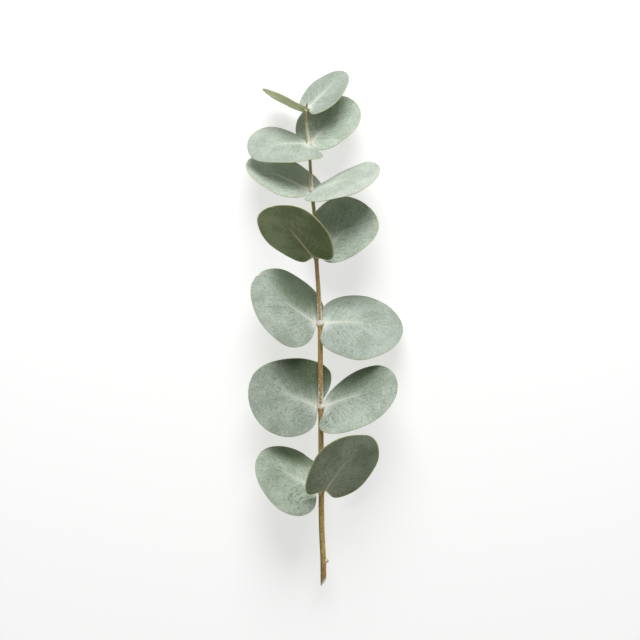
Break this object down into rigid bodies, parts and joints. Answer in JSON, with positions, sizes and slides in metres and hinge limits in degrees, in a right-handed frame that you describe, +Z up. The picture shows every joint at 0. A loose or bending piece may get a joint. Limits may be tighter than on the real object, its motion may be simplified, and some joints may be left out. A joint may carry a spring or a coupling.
{
  "type": "eucalyptus branch",
  "caption": "Cut eucalyptus branch lying flat: a thin, slightly curved stem with a slanting cut and pairs of round, stalkless, notched leaves that fan out to both sides.",
  "frame": {"origin": "under the middle of the branch's box, on the surface that it lies on", "axes": "+Y along the stem from its cut end to its tip, +Z up from the surface, +X to the right of the stem seen from above"},
  "size_m": [0.079, 0.2599, 0.0432],
  "materials": {
    "stem_bark": "dull, fine-grained young bark",
    "leaf_blade": "matte, waxy, grey-green",
    "bud_scale": "matte, brownish pink"
  },
  "bodies": {
    "root": {"stem": "stem_bark", "leaf_1_left": "leaf_blade", "leaf_1_right": "leaf_blade", "leaf_2_left": "leaf_blade", "leaf_2_right": "leaf_blade", "leaf_3_left": "leaf_blade", "leaf_3_right": "leaf_blade", "leaf_4_left": "leaf_blade", "leaf_4_right": "leaf_blade", "leaf_5_left": "leaf_blade", "leaf_5_right": "leaf_blade", "leaf_6_left": "leaf_blade", "leaf_6_right": "leaf_blade", "leaf_7_left": "leaf_blade", "leaf_7_right": "leaf_blade", "tip_bud": "bud_scale"}
  },
  "joints": []
}
